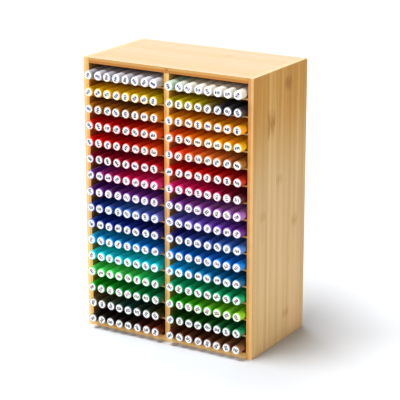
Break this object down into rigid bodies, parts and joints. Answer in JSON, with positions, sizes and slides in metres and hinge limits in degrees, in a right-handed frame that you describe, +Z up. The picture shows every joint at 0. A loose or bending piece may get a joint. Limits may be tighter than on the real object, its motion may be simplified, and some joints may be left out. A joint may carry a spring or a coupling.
{
  "type": "marker organizer",
  "caption": "Upright open-fronted bamboo organizer with two bays of thin fixed shelves, filled with capped round markers whose numbered ends face the front.",
  "frame": {"origin": "centre of the box's rectangular base, on its underside", "axes": "+Z up, +X to the right as seen from the front, -Y out of the open front, +Y to the back panel"},
  "size_m": [0.2538, 0.1546, 0.37],
  "materials": {
    "bamboo": "smooth, satin-lacquered laminated bamboo",
    "thin_board": "smooth, unlacquered thin board",
    "dowel_wood": "plain turned wood",
    "caps_row_01": "glossy moulded plastic",
    "caps_row_02": "glossy moulded plastic",
    "caps_row_03": "glossy moulded plastic",
    "caps_row_04": "glossy moulded plastic",
    "caps_row_05": "glossy moulded plastic",
    "caps_row_06": "glossy moulded plastic",
    "caps_row_07": "glossy moulded plastic",
    "caps_row_08": "glossy moulded plastic",
    "caps_row_09": "glossy moulded plastic",
    "caps_row_10": "glossy moulded plastic",
    "caps_row_11": "glossy moulded plastic",
    "caps_row_12": "glossy moulded plastic",
    "caps_row_13": "glossy moulded plastic",
    "caps_row_14": "glossy moulded plastic",
    "caps_row_15": "glossy moulded plastic",
    "caps_row_16": "glossy moulded plastic"
  },
  "bodies": {
    "carcass": {"side_panel_left": "bamboo", "side_panel_right": "bamboo", "top_panel": "bamboo", "bottom_panel": "bamboo", "centre_divider": "bamboo", "back_panel": "thin_board", "shelf_left_01": "thin_board", "shelf_left_02": "thin_board", "shelf_left_03": "thin_board", "shelf_left_04": "thin_board", "shelf_left_05": "thin_board", "shelf_left_06": "thin_board", "shelf_left_07": "thin_board", "shelf_left_08": "thin_board", "shelf_left_09": "thin_board", "shelf_left_10": "thin_board", "shelf_left_11": "thin_board", "shelf_left_12": "thin_board", "shelf_left_13": "thin_board", "shelf_left_14": "thin_board", "shelf_left_15": "thin_board", "shelf_right_01": "thin_board", "shelf_right_02": "thin_board", "shelf_right_03": "thin_board", "shelf_right_04": "thin_board", "shelf_right_05": "thin_board", "shelf_right_06": "thin_board", "shelf_right_07": "thin_board", "shelf_right_08": "thin_board", "shelf_right_09": "thin_board", "shelf_right_10": "thin_board", "shelf_right_11": "thin_board", "shelf_right_12": "thin_board", "shelf_right_13": "thin_board", "shelf_right_14": "thin_board", "shelf_right_15": "thin_board", "corner_dowels": "dowel_wood", "divider_dowels": "dowel_wood"},
    "markers_row_01": {"markers_row_01": "caps_row_01"},
    "markers_row_02": {"markers_row_02": "caps_row_02"},
    "markers_row_03": {"markers_row_03": "caps_row_03"},
    "markers_row_04": {"markers_row_04": "caps_row_04"},
    "markers_row_05": {"markers_row_05": "caps_row_05"},
    "markers_row_06": {"markers_row_06": "caps_row_06"},
    "markers_row_07": {"markers_row_07": "caps_row_07"},
    "markers_row_08": {"markers_row_08": "caps_row_08"},
    "markers_row_09": {"markers_row_09": "caps_row_09"},
    "markers_row_10": {"markers_row_10": "caps_row_10"},
    "markers_row_11": {"markers_row_11": "caps_row_11"},
    "markers_row_12": {"markers_row_12": "caps_row_12"},
    "markers_row_13": {"markers_row_13": "caps_row_13"},
    "markers_row_14": {"markers_row_14": "caps_row_14"},
    "markers_row_15": {"markers_row_15": "caps_row_15"},
    "markers_row_16": {"markers_row_16": "caps_row_16"}
  },
  "joints": [
    {"name": "markers_row_01_pull", "type": "slide", "parent": "carcass", "child": "markers_row_01", "axis": [0, -1, 0], "range_m": [0, 0.15]},
    {"name": "markers_row_02_pull", "type": "slide", "parent": "carcass", "child": "markers_row_02", "axis": [0, -1, 0], "range_m": [0, 0.15]},
    {"name": "markers_row_03_pull", "type": "slide", "parent": "carcass", "child": "markers_row_03", "axis": [0, -1, 0], "range_m": [0, 0.15]},
    {"name": "markers_row_04_pull", "type": "slide", "parent": "carcass", "child": "markers_row_04", "axis": [0, -1, 0], "range_m": [0, 0.15]},
    {"name": "markers_row_05_pull", "type": "slide", "parent": "carcass", "child": "markers_row_05", "axis": [0, -1, 0], "range_m": [0, 0.15]},
    {"name": "markers_row_06_pull", "type": "slide", "parent": "carcass", "child": "markers_row_06", "axis": [0, -1, 0], "range_m": [0, 0.15]},
    {"name": "markers_row_07_pull", "type": "slide", "parent": "carcass", "child": "markers_row_07", "axis": [0, -1, 0], "range_m": [0, 0.15]},
    {"name": "markers_row_08_pull", "type": "slide", "parent": "carcass", "child": "markers_row_08", "axis": [0, -1, 0], "range_m": [0, 0.15]},
    {"name": "markers_row_09_pull", "type": "slide", "parent": "carcass", "child": "markers_row_09", "axis": [0, -1, 0], "range_m": [0, 0.15]},
    {"name": "markers_row_10_pull", "type": "slide", "parent": "carcass", "child": "markers_row_10", "axis": [0, -1, 0], "range_m": [0, 0.15]},
    {"name": "markers_row_11_pull", "type": "slide", "parent": "carcass", "child": "markers_row_11", "axis": [0, -1, 0], "range_m": [0, 0.15]},
    {"name": "markers_row_12_pull", "type": "slide", "parent": "carcass", "child": "markers_row_12", "axis": [0, -1, 0], "range_m": [0, 0.15]},
    {"name": "markers_row_13_pull", "type": "slide", "parent": "carcass", "child": "markers_row_13", "axis": [0, -1, 0], "range_m": [0, 0.15]},
    {"name": "markers_row_14_pull", "type": "slide", "parent": "carcass", "child": "markers_row_14", "axis": [0, -1, 0], "range_m": [0, 0.15]},
    {"name": "markers_row_15_pull", "type": "slide", "parent": "carcass", "child": "markers_row_15", "axis": [0, -1, 0], "range_m": [0, 0.15]},
    {"name": "markers_row_16_pull", "type": "slide", "parent": "carcass", "child": "markers_row_16", "axis": [0, -1, 0], "range_m": [0, 0.15]}
  ]
}
